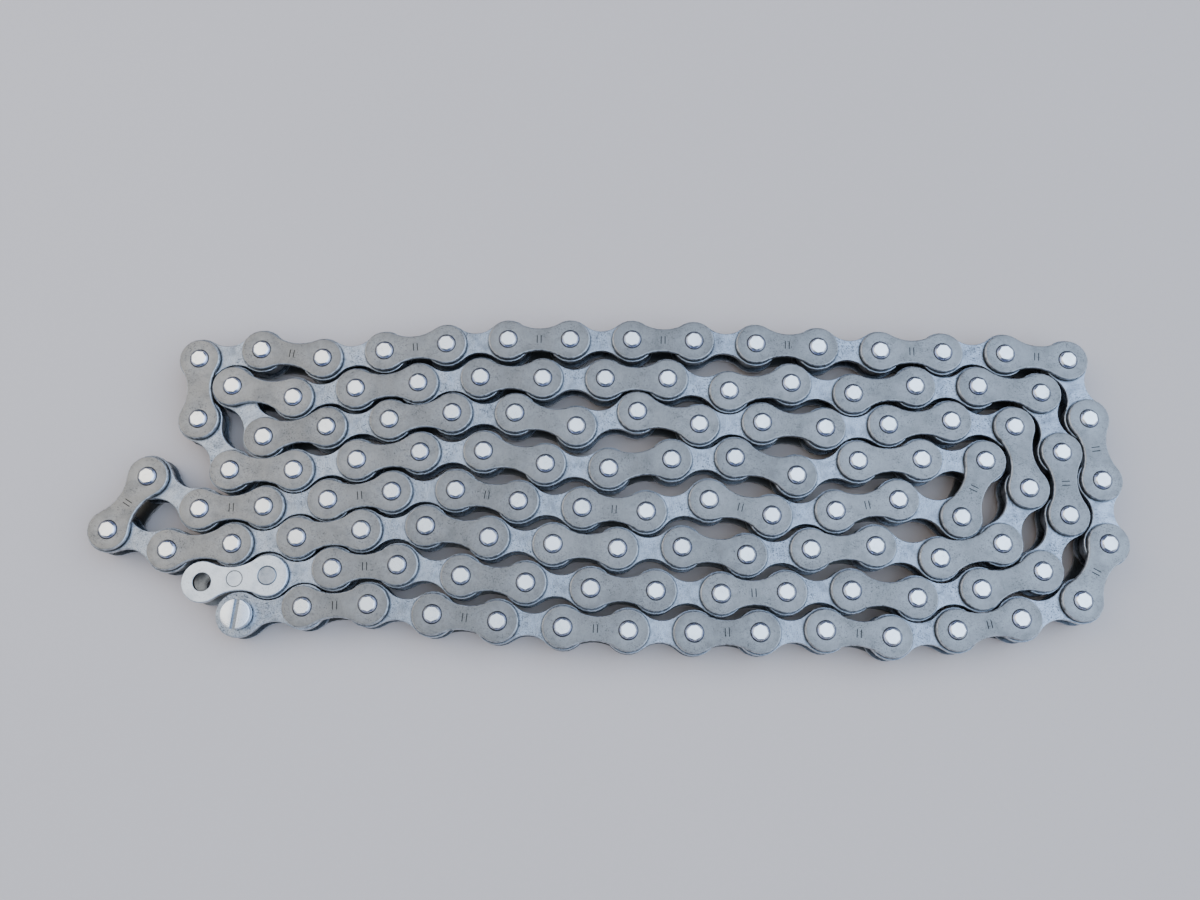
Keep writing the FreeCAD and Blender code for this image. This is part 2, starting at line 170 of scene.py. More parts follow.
class ChainSizes(bpy.types.PropertyGroup):
    """Sizes of the finished pieces that the frame leaves open."""

    outer_waist: FloatProperty(
        name="Outer waist", description="Width of an outer plate half way along",
        default=4.7 * MM, unit="LENGTH")
    inner_waist: FloatProperty(
        name="Inner waist", description="Width of an inner plate half way along",
        default=4.2 * MM, unit="LENGTH")
    outer_round: FloatProperty(
        name="Outer plate rounding", description="Radius of an outer plate's upper edge",
        default=0.26 * MM, unit="LENGTH")
    inner_round: FloatProperty(
        name="Inner plate rounding", description="Radius of an inner plate's upper edge",
        default=0.16 * MM, unit="LENGTH")
    back_round: FloatProperty(
        name="Back rounding", description="Radius of a plate's hidden edge",
        default=0.06 * MM, unit="LENGTH")
    pin_round: FloatProperty(
        name="Pin rounding", description="Radius of a riveted pin's end",
        default=0.50 * MM, unit="LENGTH")
    countersink: FloatProperty(
        name="Countersink", description="Width of the recess round a riveted pin",
        default=0.16 * MM, unit="LENGTH")
    pin_facets: IntProperty(
        name="Pin facets", description="Sides of the flat on a riveted pin's end", default=7)
    connecting_round: FloatProperty(
        name="Connecting plate rounding", description="Radius of its outer edge",
        default=0.22 * MM, unit="LENGTH")
    hole_break: FloatProperty(
        name="Hole break", description="Countersink of the connecting link's open holes",
        default=0.08 * MM, unit="LENGTH")
    rivet_gap: FloatProperty(
        name="Rivet gap", description="Rounding where the flush rivet meets its plate",
        default=0.16 * MM, unit="LENGTH")
    tapped_dia: FloatProperty(
        name="Tapped hole", description="Diameter of the lower connecting plate's open hole",
        default=2.6 * MM, unit="LENGTH")
    mark_height: FloatProperty(
        name="Mark height", description="Height of the plain bars on some outer plates",
        default=1.5 * MM, unit="LENGTH")
    mark_width: FloatProperty(
        name="Mark width", description="Width of the plain marks' grooves",
        default=0.2 * MM, unit="LENGTH")
    mark_gap: FloatProperty(
        name="Mark gap", description="Distance between the two plain bars",
        default=0.8 * MM, unit="LENGTH")
    ring_mark_dia: FloatProperty(
        name="Ring mark", description="Diameter of the plain ring on the connecting plate",
        default=3.3 * MM, unit="LENGTH")
    roller_play: FloatProperty(
        name="Roller play", description="Radial clearance of a roller on its bush",
        default=0.05 * MM, unit="LENGTH")
    roller_round: FloatProperty(
        name="Roller rounding", description="Radius of a roller's edges",
        default=0.25 * MM, unit="LENGTH")
    head_dia: FloatProperty(
        name="Screw head", description="Diameter of the screw's head",
        default=5.9 * MM, unit="LENGTH")
    head_height: FloatProperty(
        name="Head height", description="Height of the screw's head",
        default=1.5 * MM, unit="LENGTH")
    head_round: FloatProperty(
        name="Head rounding", description="Radius of the screw head's upper edge",
        default=0.22 * MM, unit="LENGTH")
    shank_dia: FloatProperty(
        name="Shank", description="Diameter of the screw's plain shank",
        default=3.5 * MM, unit="LENGTH")
    thread_dia: FloatProperty(
        name="Thread", description="Outside diameter of the screw's thread",
        default=3.0 * MM, unit="LENGTH")
    thread_length: FloatProperty(
        name="Thread length", description="Length of the screw's thread",
        default=1.1 * MM, unit="LENGTH")
    thread_pitch: FloatProperty(
        name="Thread pitch", description="Distance from one thread turn to the next",
        default=0.5 * MM, unit="LENGTH")
    thread_depth: FloatProperty(
        name="Thread depth", description="Depth of the thread",
        default=0.25 * MM, unit="LENGTH")
    slot_width: FloatProperty(
        name="Slot width", description="Width of the driver slot",
        default=1.1 * MM, unit="LENGTH")
    slot_depth: FloatProperty(
        name="Slot depth", description="Depth of the driver slot",
        default=0.7 * MM, unit="LENGTH")
    slot_heading: FloatProperty(
        name="Slot heading", description="Direction of the driver slot, from +X",
        default=math.radians(84.0), unit="ROTATION")
    hammering: FloatProperty(
        name="Hammering", description="How far riveting has pushed a pin's rim about",
        default=0.07 * MM, unit="LENGTH")
    turn_play: FloatProperty(
        name="Turn play", description="How far a round piece may be turned at random",
        default=math.pi, unit="ROTATION")
    seed: IntProperty(
        name="Seed", description="Seed of everything that is spread at random", default=7)


class ChainFinish(bpy.types.PropertyGroup):
    """Colours of the finishes."""

    outer: FloatVectorProperty(
        name="Outer plates", description="Satin steel of the outer plates",
        default=(0.215, 0.206, 0.195), subtype="COLOR")
    # The inner plates' blue tint is a painted reflection of blue surroundings over satin steel.
    inner: FloatVectorProperty(
        name="Inner plates", description="Lighter satin steel of the inner plates",
        default=(0.325, 0.350, 0.390), subtype="COLOR")
    # The bright rim colours stand for rubbed edges and are partly a painted highlight of the
    # edges' bright lines.
    outer_rim_and_highlight: FloatVectorProperty(
        name="Outer rims", description="Edges of the outer plates, rubbed bright",
        default=(0.72, 0.72, 0.73), subtype="COLOR")
    inner_rim_and_highlight: FloatVectorProperty(
        name="Inner rims", description="Edges of the inner plates, rubbed bright",
        default=(0.80, 0.81, 0.82), subtype="COLOR")
    # The pins' blue rim colour is a painted reflection of blue surroundings.
    pin_rim_painted_reflection: FloatVectorProperty(
        name="Pin rims", description="Riveted rims of the pins",
        default=(0.38, 0.46, 0.88), subtype="COLOR")
    connecting_rim: FloatVectorProperty(
        name="Connecting rims", description="Edges of the connecting link's plates",
        default=(0.80, 0.82, 0.86), subtype="COLOR")
    screw_rim: FloatVectorProperty(
        name="Screw rims", description="Edges of the screw",
        default=(0.92, 0.93, 0.95), subtype="COLOR")
    pin: FloatVectorProperty(
        name="Pins", description="Bright ends of the pins",
        default=(0.92, 0.90, 0.86), subtype="COLOR")
    # The rollers' and bushes' dark colour is partly painted shade, darkened so the gaps between
    # rows look dark.
    roller: FloatVectorProperty(
        name="Rollers", description="Ground steel of rollers and bushes",
        default=(0.16, 0.16, 0.165), subtype="COLOR")
    connecting: FloatVectorProperty(
        name="Connecting link", description="Pale nickel of the connecting link's plates",
        default=(0.66, 0.69, 0.73), subtype="COLOR")
    rivet: FloatVectorProperty(
        name="Rivet", description="Duller steel of the connecting link's rivet",
        default=(0.36, 0.375, 0.40), subtype="COLOR")
    screw: FloatVectorProperty(
        name="Screw", description="Bright nickel of the screw",
        default=(0.80, 0.83, 0.88), subtype="COLOR")


# --------------------------------------------------------------- node building


def add_node(tree, kind, inputs=None, **settings):
    """A node with its settings, and its inputs either linked or given a value."""
    node = tree.nodes.new(kind)
    for name, value in settings.items():
        setattr(node, name, value)
    for key, value in (inputs or {}).items():
        if isinstance(value, bpy.types.NodeSocket):
            tree.links.new(value, node.inputs[key])
        else:
            node.inputs[key].default_value = value
    return node


def new_group(name, kind, inputs, outputs):
    """An empty node group with its sockets, and its input and output nodes."""
    tree = bpy.data.node_groups.new(name, kind)
    for socket, socket_type, value in inputs:
        item = tree.interface.new_socket(name=socket, in_out="INPUT", socket_type=socket_type)
        if value is not None:
            item.default_value = value
    for socket, socket_type in outputs:
        tree.interface.new_socket(name=socket, in_out="OUTPUT", socket_type=socket_type)
    return tree, tree.nodes.new("NodeGroupInput").outputs, tree.nodes.new("NodeGroupOutput")


def math_node(tree, operation, *values):
    return add_node(tree, "ShaderNodeMath", dict(enumerate(values)),
                    operation=operation).outputs[0]


# --------------------------------------------------------------- laying the pieces


def laying_tree():
    """Puts a piece on every point, turned to its heading, and dents its rim sideways."""
    tree, given, result = new_group(
        "Lay along the chain", "GeometryNodeTree",
        [("Spots", "NodeSocketGeometry", None),
         ("Piece", "NodeSocketObject", None),
         ("Marked piece", "NodeSocketObject", None),
         ("Turn play", "NodeSocketFloat", 0.0),
         ("Hammering", "NodeSocketFloat", 0.0),
         ("Hammer size", "NodeSocketFloat", 1.2 * MM),
         ("Seed", "NodeSocketInt", 0),
         ("Finish", "NodeSocketMaterial", None)],
        [("Laid", "NodeSocketGeometry")])

    def attribute(name):
        return add_node(tree, "GeometryNodeInputNamedAttribute", {"Name": name},
                        data_type="FLOAT").outputs[0]

    turn = add_node(tree, "FunctionNodeRandomValue",
                    {2: math_node(tree, "MULTIPLY", given["Turn play"], -1.0),
                     3: given["Turn play"], "Seed": given["Seed"]}).outputs[1]
    heading = math_node(tree, "ADD", attribute("heading"), turn)
    pose = add_node(tree, "ShaderNodeCombineXYZ", {"X": attribute("flip"), "Z": heading})
    laid = []
    split = add_node(tree, "GeometryNodeSeparateGeometry",
                     {"Geometry": given["Spots"], "Selection": attribute("marked")},
                     domain="POINT")
    for spots, piece in ((split.outputs[0], "Marked piece"), (split.outputs[1], "Piece")):
        shape = add_node(tree, "GeometryNodeObjectInfo", {"Object": given[piece]})
        laid.append(add_node(tree, "GeometryNodeInstanceOnPoints", {
            "Points": spots, "Instance": shape.outputs["Geometry"],
            "Rotation": pose.outputs[0]}).outputs[0])
    joined = add_node(tree, "GeometryNodeJoinGeometry")
    for part in laid:
        tree.links.new(part, joined.inputs[0])
    tone = add_node(tree, "FunctionNodeRandomValue",
                    {"Seed": math_node(tree, "ADD", given["Seed"], 1.0)})
    toned = add_node(tree, "GeometryNodeStoreNamedAttribute",
                     {"Geometry": joined.outputs[0], "Name": "tone", "Value": tone.outputs[1]},
                     data_type="FLOAT", domain="INSTANCE")
    real = add_node(tree, "GeometryNodeRealizeInstances", {"Geometry": toned.outputs[0]})
    place = add_node(tree, "GeometryNodeInputPosition")
    dents = add_node(tree, "ShaderNodeTexNoise",
                     {"Vector": place.outputs[0], "Detail": 1.0,
                      "Scale": math_node(tree, "DIVIDE", 1.0, given["Hammer size"])})
    sway = add_node(tree, "ShaderNodeVectorMath",
                    {0: dents.outputs["Color"], 1: (0.5, 0.5, 0.5)}, operation="SUBTRACT")
    sideways = add_node(tree, "ShaderNodeVectorMath",
                        {0: sway.outputs[0], 1: (1.0, 1.0, 0.0)}, operation="MULTIPLY")
    reach = math_node(tree, "MULTIPLY", attribute("rim"),
                      math_node(tree, "MULTIPLY", given["Hammering"], 2.0))
    offset = add_node(tree, "ShaderNodeVectorMath",
                      {0: sideways.outputs[0], "Scale": reach}, operation="SCALE")
    hammered = add_node(tree, "GeometryNodeSetPosition",
                        {"Geometry": real.outputs[0], "Offset": offset.outputs[0]})
    finished = add_node(tree, "GeometryNodeSetMaterial",
                        {"Geometry": hammered.outputs[0], "Material": given["Finish"]})
    tree.links.new(finished.outputs[0], result.inputs[0])
    return tree


def spots_mesh(node, marks):
    """A point for each solid of a CAD node, with its heading, side and mark."""
    points = []
    for box in solid_boxes(node):
        centre = middle(box)
        round_piece = any((spot - centre.xy).length < MM for spot in PIN_SPOTS)
        heading = 0.0 if round_piece else heading_of(centre)
        flip = math.pi if centre.z < MID_HEIGHT - 0.5 * MM else 0.0
        points.append((centre, heading, flip))
    points.sort(key=lambda point: (round(point[0].z, 5), point[0].x, point[0].y))
    mesh = bpy.data.meshes.new("spots")
    mesh.from_pydata([point[0] for point in points], [], [])
    columns = {
        "heading": [point[1] for point in points],
        "flip": [point[2] for point in points],
        "marked": [float(marks and k % MARKED_EVERY == 1) for k in range(len(points))],
    }
    for name, values in columns.items():
        mesh.attributes.new(name, "FLOAT", "POINT").data.foreach_set("value", values)
    return mesh


def lay(node, piece, finish, marked_piece=None, turn_play=0.0, hammering=0.0):
    """Replaces a CAD node by copies of a finished piece, one for each of its solids."""
    carrier = bpy.data.objects.new(f"laid_{node}", spots_mesh(node, marked_piece is not None))
    bpy.context.scene.collection.objects.link(carrier)
    modifier = carrier.modifiers.new("Lay", "NODES")
    modifier.node_group = bpy.data.node_groups["Lay along the chain"]
    values = {
        "Piece": piece,
        "Marked piece": marked_piece or piece,
        "Turn play": turn_play,
        "Hammering": hammering,
        "Seed": bpy.context.scene.chain_sizes.seed + sorted(NODES).index(node),
        "Finish": finish,
    }
    for item in modifier.node_group.interface.items_tree:
        if item.name in values:
            modifier[item.identifier] = values[item.name]
    bpy.context.view_layer.update()
    evaluated = carrier.evaluated_get(bpy.context.evaluated_depsgraph_get())
    laid = bpy.data.meshes.new_from_object(evaluated)
    carrier.modifiers.remove(modifier)
    carrier.data = laid
    if not laid.polygons:
        raise RuntimeError(f"nothing was laid for {node}")
    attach(carrier, BODY_OF[node])
    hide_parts(node)


# --------------------------------------------------------------- shapes of the pieces

END_STEPS = 18
HOLLOW_STEPS = 8
ROUND_STEPS = 32
ROUNDING_STEPS = 3
THREAD_STEPS = 6
SUPPORT = 0.12 * MM
MARK_DEPTH = 0.08 * MM
MARKED_EVERY = 3
FACET_REACH = 1.14
RIVET_FACETS = 24
BUSH_HOLE_BREAK = 0.05 * MM
# Rim value of the screw slot's floor: painted shade that darkens the slot.
SLOT_PAINTED_SHADE = -0.75
# A foot radius this large keeps the dark foot ring, painted contact shade, off the plate.
NO_FOOT_RING = 100.0


def plate_outline(end, waist, inset):
    """Points of a plate's outline, anticlockwise, drawn in by inset."""
    half = PITCH / 2
    radius = end / 2
    neck = waist / 2
    hollow = (half**2 + neck**2 - radius**2) / (2 * (radius - neck))
    lean = math.atan2(neck + hollow, half)
    arcs = (
        (half, 0.0, radius - inset, lean - math.pi, math.pi - lean, END_STEPS),
        (0.0, neck + hollow, hollow + inset, -lean, lean - math.pi, HOLLOW_STEPS),
        (-half, 0.0, radius - inset, lean, 2 * math.pi - lean, END_STEPS),
        (0.0, -neck - hollow, hollow + inset, math.pi - lean, lean, HOLLOW_STEPS),
    )
    points = []
    for x, y, size, start, stop, steps in arcs:
        for k in range(steps):
            angle = start + (stop - start) * k / steps
            points.append((x + size * math.cos(angle), y + size * math.sin(angle)))
    return points


def circle(x, radius, steps=ROUND_STEPS):
    return [(x + radius * math.cos(math.tau * k / steps), radius * math.sin(math.tau * k / steps))
            for k in range(steps)]


def bar(x, length, width, steps=4):
    """An upright bar with round ends, anticlockwise."""
    points = []
    for y, start in ((length / 2, 0.0), (-length / 2, math.pi)):
        for k in range(steps + 1):
            angle = start + math.pi * k / steps
            points.append((x + width / 2 * math.cos(angle), y + width / 2 * math.sin(angle)))
    return points


class Shell:
    """Builds a closed mesh from rings of points.

    Each ring has a value kept as rim: up to 1 where it is rubbed bright, partly a painted
    highlight, and on the pins a painted blue reflection; down to -1 where grime and painted
    shade darken it. Each point also keeps its own place, in mm, as spot."""

    def __init__(self):
        self.bm = bmesh.new()
        self.rim = self.bm.verts.layers.float.new("rim")
        self.spot = self.bm.verts.layers.float_vector.new("spot")

    def ring(self, points, z, rim=0.0):
        verts = []
        for x, y in points:
            vert = self.bm.verts.new((x, y, z))
            vert[self.rim] = rim
            vert[self.spot] = (x / MM, y / MM, z / MM)
            verts.append(vert)
        return verts

    def bridge(self, *rings, sharp=True):
        """Faces from each ring to the next; the edges of the rings may stay sharp."""
        for lower, upper in zip(rings, rings[1:]):
            count = len(lower)
            for k in range(count):
                nxt = (k + 1) % count
                self.bm.faces.new((lower[k], lower[nxt], upper[nxt], upper[k]))
        if sharp:
            for ring in rings:
                self.crease(ring)

    def crease(self, ring):
        for k, vert in enumerate(ring):
            edge = self.bm.edges.get((vert, ring[(k + 1) % len(ring)]))
            edge.smooth = False

    def cap(self, *rings):
        """A flat face bounded by the first ring, with the others as holes in it."""
        edges = []
        for ring in rings:
            for k, vert in enumerate(ring):
                pair = (vert, ring[(k + 1) % len(ring)])
                edges.append(self.bm.edges.get(pair) or self.bm.edges.new(pair))
        bmesh.ops.triangle_fill(self.bm, use_beauty=True, use_dissolve=False, edges=edges)

    def finish(self, name):
        bmesh.ops.recalc_face_normals(self.bm, faces=self.bm.faces)
        for face in self.bm.faces:
            face.smooth = True
        mesh = bpy.data.meshes.new(name)
        self.bm.to_mesh(mesh)
        self.bm.free()
        return bpy.data.objects.new(name, mesh)


def rounded(radius):
    """Steps round a quarter circle, as (inwards, down, share of rubbed brightness and painted
    highlight).
    """
    for k in range(ROUNDING_STEPS + 1):
        angle = math.pi / 2 * k / ROUNDING_STEPS
        yield radius * (1 - math.cos(angle)), radius * (1 - math.sin(angle)), math.cos(angle)


def plate_shape(name, end, waist, thick, rounding, back, holes, bars=(), rings=()):
    """A plate lying on its middle plane, outer face up.

    holes are (x, radius, countersink), bars (x, length, width) and rings
    (x, radius, width); bars and rings are shallow marks in the outer face."""
    shell = Shell()
    top = thick / 2
    # The lower edge rings get rim values from -0.3 to -0.9: painted shade, darker towards the
    # bottom of each side, which darkens the gaps between rows.
    sides = [shell.ring(plate_outline(end, waist, inset), down - top, -0.3 - 0.6 * inset / back)
             for inset, down, _ in reversed(list(rounded(back)))]
    for inset, down, wear_and_painted_light in rounded(rounding):
        sides.append(shell.ring(plate_outline(end, waist, inset), top - down, wear_and_painted_light))
    sides.append(shell.ring(plate_outline(end, waist, rounding + SUPPORT), top))
    shell.bridge(*sides, sharp=False)
    upper_edges, lower_edges = [sides[-1]], [sides[0]]
    for x, radius, countersink in holes:
        # Hole walls and feet get rim -0.9 and -0.8: painted shade in the holes, a dark ring round
        # each pin and rivet.
        foot = shell.ring(circle(x, radius), -top, -0.8)
        wall = shell.ring(circle(x, radius), top - countersink, -0.9)
        mouth = shell.ring(circle(x, radius + countersink), top, 0.1)
        shell.bridge(mouth, wall, foot)
        upper_edges.append(mouth)
        lower_edges.append(foot)
    for x, length, width in bars:
        edge = shell.ring(bar(x, length, width), top)
        # The bar floors get rim -0.9, which darkens them.
        floor = shell.ring(bar(x, length, width), top - MARK_DEPTH, -0.9)
        shell.bridge(edge, floor)
        shell.cap(floor)
        upper_edges.append(edge)
    for x, radius, width in rings:
        # The ring groove's floor gets rim -0.9, which darkens it.
        walls = [shell.ring(circle(x, size), z, wear_and_painted_light) for size, z, wear_and_painted_light in (
            (radius, top, 0.0), (radius, top - MARK_DEPTH, -0.9),
            (radius - width, top - MARK_DEPTH, -0.9), (radius - width, top, 0.0))]
        shell.bridge(*walls)
        shell.cap(walls[-1])
        upper_edges.append(walls[0])
    shell.cap(*upper_edges)
    shell.cap(*lower_edges)
    return shell.finish(name)


def pin_shape(name, diameter, length, rounding, facets):
    """A riveted pin: an uneven many-sided flat on each end, and a rounded rim."""
    shell = Shell()
    radius = diameter / 2
    top = length / 2
    sector = math.tau / facets
    flat = [(x * pull, y * pull) for x, y in circle(0.0, radius - rounding)
            for pull in [min(1 / math.cos(math.atan2(y, x) % sector - sector / 2), FACET_REACH)]]
    half = []
    # The rim rings' values 0.4 and 1.0 carry the pins' painted blue reflection.
    for points, down, wear_and_painted_light in (
        (circle(0.0, radius), rounding * 1.1, 0.4),
        (circle(0.0, radius - rounding * 0.12), rounding * 0.55, 1.0),
        (flat, 0.0, 0.0),
    ):
        half.append((points, top - down, wear_and_painted_light))
    rings = [shell.ring(points, -z, wear_and_painted_light) for points, z, wear_and_painted_light in reversed(half)]
    rings += [shell.ring(points, z, wear_and_painted_light) for points, z, wear_and_painted_light in half]
    shell.bridge(*rings, sharp=False)
    for ring in (rings[0], rings[-1]):
        shell.crease(ring)
        shell.cap(ring)
    return shell.finish(name)


def turned_shape(name, corners, closed=True):
    """A solid of revolution from (radius, z, rim value) corners: a bar, or a tube if not closed.
    """
    shell = Shell()
    rings = [shell.ring(circle(0.0, radius), z, wear_and_painted_light) for radius, z, wear_and_painted_light in corners]
    if closed:
        shell.bridge(*rings)
        shell.cap(rings[0])
        shell.cap(rings[-1])
    else:
        shell.bridge(*rings, rings[0])
    return shell.finish(name)


def screw_shape(name, low, high, sizes):
    """The connecting screw, its slot cut later; low and high are its CAD box."""
    shell = Shell()
    height = high - low
    z_top = height / 2
    z_foot = -z_top
    z_under_head = z_top - sizes.head_height
    z_shoulder = z_foot + sizes.thread_length
    rings = []
    turns = round(sizes.thread_length / sizes.thread_pitch) * THREAD_STEPS
    for k in range(turns + 1):
        points = []
        for x, y in circle(0.0, 1.0):
            phase = (k / THREAD_STEPS - math.atan2(y, x) / math.tau) % 1.0
            radius = sizes.thread_dia / 2 - sizes.thread_depth * (1 - abs(2 * phase - 1))
            points.append((x * radius, y * radius))
        rings.append(shell.ring(points, z_foot + sizes.thread_length * k / turns, 0.3))
    shell.bridge(*rings, sharp=False)
    shell.cap(rings[0])
    head = sizes.head_dia / 2
    shank = sizes.shank_dia / 2
    corners = [(shank, z_shoulder, 0.3), (shank, z_under_head, 0.0), (head, z_under_head, 0.5)]
    for inset, down, wear_and_painted_light in rounded(sizes.head_round):
        corners.append((head - inset, z_top - down, wear_and_painted_light))
    turned = [shell.ring(circle(0.0, radius), z, wear_and_painted_light) for radius, z, wear_and_painted_light in corners]
    shell.bridge(rings[-1], *turned[:3])
    shell.bridge(*turned[2:], sharp=False)
    shell.cap(turned[-1])
    return shell.finish(name)


def cut_slot(screw, width, depth, heading):
    """Cuts the driver slot across the screw's head."""
    top = max(vert.co.z for vert in screw.data.vertices)
    bm = bmesh.new()
    bmesh.ops.create_cube(bm, size=1.0, matrix=(
        Matrix.Translation((0.0, 0.0, top))
        @ Matrix.Rotation(heading, 4, "Z")
        @ Matrix.Diagonal((PITCH, width, 2 * depth, 1.0))))
    mesh = bpy.data.meshes.new("slot")
    bm.to_mesh(mesh)
    bm.free()
    cutter = bpy.data.objects.new("slot", mesh)
    scene_objects = bpy.context.scene.collection.objects
    for item in (cutter, screw):
        scene_objects.link(item)
    cut = screw.modifiers.new("Slot", "BOOLEAN")
    cut.object = cutter
    cut.operation = "DIFFERENCE"
    bpy.context.view_layer.update()
    evaluated = screw.evaluated_get(bpy.context.evaluated_depsgraph_get())
    slotted = bpy.data.meshes.new_from_object(evaluated)
    screw.modifiers.remove(cut)
    if len(slotted.vertices) <= len(screw.data.vertices):
        raise RuntimeError("the driver slot cut nothing")
    screw.data = slotted
    wear_and_painted_light = slotted.attributes["rim"].data
    # The slot floor's points get a dark rim value: painted shade in the slot.
    for k, vert in enumerate(slotted.vertices):
        if abs(vert.co.z - (top - depth)) < SUPPORT:
            wear_and_painted_light[k].value = SLOT_PAINTED_SHADE
    slotted.set_sharp_from_angle(angle=math.radians(35))
    scene_objects.unlink(screw)
    bpy.data.objects.remove(cutter)
    return screw


# --------------------------------------------------------------- finishes


def colour_mix(tree, blend, factor, first, second):
    node = add_node(tree, "ShaderNodeMix", data_type="RGBA", blend_type=blend)
    for socket, value in ((node.inputs[0], factor), (node.inputs[6], first),
                          (node.inputs[7], second)):
        if isinstance(value, bpy.types.NodeSocket):
            tree.links.new(value, socket)
        else:
            socket.default_value = value
    return node.outputs[2]


def ramp(tree, value, low, high, to_low=0.0, to_high=1.0):
    return add_node(tree, "ShaderNodeMapRange", {
        "Value": value, "From Min": low, "From Max": high,
        "To Min": to_low, "To Max": to_high}, interpolation_type="SMOOTHSTEP").outputs[0]


def noise(tree, place, scale, detail=2.0, roughness=0.5):
    return add_node(tree, "ShaderNodeTexNoise", {
        "Vector": place, "Scale": scale, "Detail": detail, "Roughness": roughness}).outputs[0]


def stretched(tree, place, turn, stretch):
    """Coordinates turned about Z and then stretched, for streaks."""
    return add_node(tree, "ShaderNodeMapping", {
        "Vector": place, "Rotation": (0.0, 0.0, turn),
        "Scale": [1 / size for size in stretch]}, vector_type="TEXTURE").outputs[0]


def wear_group():
    """Smudges, specks, scratches, grain, bright rims that are partly a painted highlight, and
    grime with painted shade, laid over one colour.
    """
    tree, given, result = new_group(
        "Worn steel with painted light", "ShaderNodeTree",
        [("Colour", "NodeSocketColor", (0.5, 0.5, 0.5, 1.0)),
         ("Rim colour", "NodeSocketColor", (0.8, 0.8, 0.8, 1.0)),
         ("Roughness", "NodeSocketFloat", 0.4),
         ("Smudges", "NodeSocketFloat", 0.5),
         ("Specks", "NodeSocketFloat", 0.5),
         ("Scratches", "NodeSocketFloat", 0.5),
         ("Grain", "NodeSocketFloat", 0.5),
         ("Rim", "NodeSocketFloat", 0.5),
         ("Rim roughness", "NodeSocketFloat", 0.15),
         ("Foot radius", "NodeSocketFloat", NO_FOOT_RING),
         ("Waves", "NodeSocketFloat", 0.5),
         ("Relief", "NodeSocketFloat", 0.5)],
        [("Colour", "NodeSocketColor"), ("Roughness", "NodeSocketFloat"),
         ("Normal", "NodeSocketVector")])
    place = add_node(tree, "ShaderNodeTexCoord").outputs["Object"]
    mm = add_node(tree, "ShaderNodeVectorMath", {0: place, "Scale": 1 / MM},
                  operation="SCALE").outputs[0]
    spot = add_node(tree, "ShaderNodeAttribute", attribute_name="spot").outputs["Vector"]
    tone = add_node(tree, "ShaderNodeAttribute", attribute_name="tone").outputs["Fac"]
    worn_and_painted_light = add_node(tree, "ShaderNodeAttribute", attribute_name="rim").outputs["Fac"]
    own = add_node(tree, "ShaderNodeVectorMath", {
        0: spot, 1: add_node(tree, "ShaderNodeCombineXYZ", {
            "Z": math_node(tree, "MULTIPLY", tone, 300.0)}).outputs[0]},
        operation="ADD").outputs[0]

    smudge = math_node(tree, "MULTIPLY", given["Smudges"],
                       ramp(tree, noise(tree, mm, 0.42, 5.0, 0.62), 0.42, 0.72))
    crowd = ramp(tree, noise(tree, mm, 0.23, 3.0), 0.34, 0.66, 0.15, 1.0)
    specks = math_node(tree, "MULTIPLY", given["Specks"], math_node(
        tree, "MULTIPLY", crowd, ramp(tree, noise(tree, mm, 3.2, 3.0, 0.7), 0.53, 0.66)))
    hairs = 0.0
    for turn, width in ((0.4, 5.0), (1.9, 6.5), (2.7, 4.0)):
        lines = noise(tree, stretched(tree, mm, turn, (0.42, width, 1.0)), 1.0, 2.0, 0.6)
        hairs = math_node(tree, "MAXIMUM", hairs, ramp(tree, lines, 0.64, 0.70))
    scratches = math_node(tree, "MULTIPLY", given["Scratches"],
                          math_node(tree, "MULTIPLY", hairs, crowd))
    streaks = noise(tree, stretched(tree, own, 0.0, (9.0, 0.8, 1.0)), 1.0, 3.0, 0.6)
    fine = noise(tree, mm, 9.0, 3.0, 0.6)
    grain = math_node(tree, "MULTIPLY", given["Grain"], math_node(
        tree, "ADD", math_node(tree, "SUBTRACT", streaks, 0.5),
        math_node(tree, "SUBTRACT", fine, 0.5)))
    patches = ramp(tree, noise(tree, own, 1.1, 4.0, 0.6), 0.25, 0.6)
    # Bright rim: rubbed edges, partly a painted highlight.
    rim = math_node(tree, "MULTIPLY", given["Rim"], math_node(
        tree, "MULTIPLY", math_node(tree, "MAXIMUM", worn_and_painted_light, 0.0), patches))
    # Dark side of rim: grime and painted shade on lower sides, hole walls, groove floors and the
    # screw slot.
    dirt_and_painted_shade = math_node(tree, "MAXIMUM", math_node(tree, "MULTIPLY", worn_and_painted_light, -1.0), 0.0)
    # A dark ring on the inner plates round the foot of each outer plate: painted contact shade,
    # partly oil grime.
    along = add_node(tree, "ShaderNodeSeparateXYZ", {0: spot}).outputs
    from_pin = add_node(tree, "ShaderNodeVectorMath", {
        0: add_node(tree, "ShaderNodeCombineXYZ", {
            "X": math_node(tree, "SUBTRACT", math_node(tree, "ABSOLUTE", along["X"]),
                           PITCH / MM / 2),
            "Y": along["Y"]}).outputs[0]}, operation="LENGTH").outputs["Value"]
    beyond = math_node(tree, "SUBTRACT", from_pin, given["Foot radius"])
    foot = math_node(tree, "MULTIPLY", ramp(tree, beyond, -0.3, -0.1),
                     ramp(tree, beyond, 0.04, 0.42, 1.0, 0.0))
    dirt_and_painted_shade = math_node(tree, "MAXIMUM", dirt_and_painted_shade, math_node(
        tree, "MULTIPLY", foot, ramp(tree, patches, 0.0, 1.0, 0.55, 0.9)))

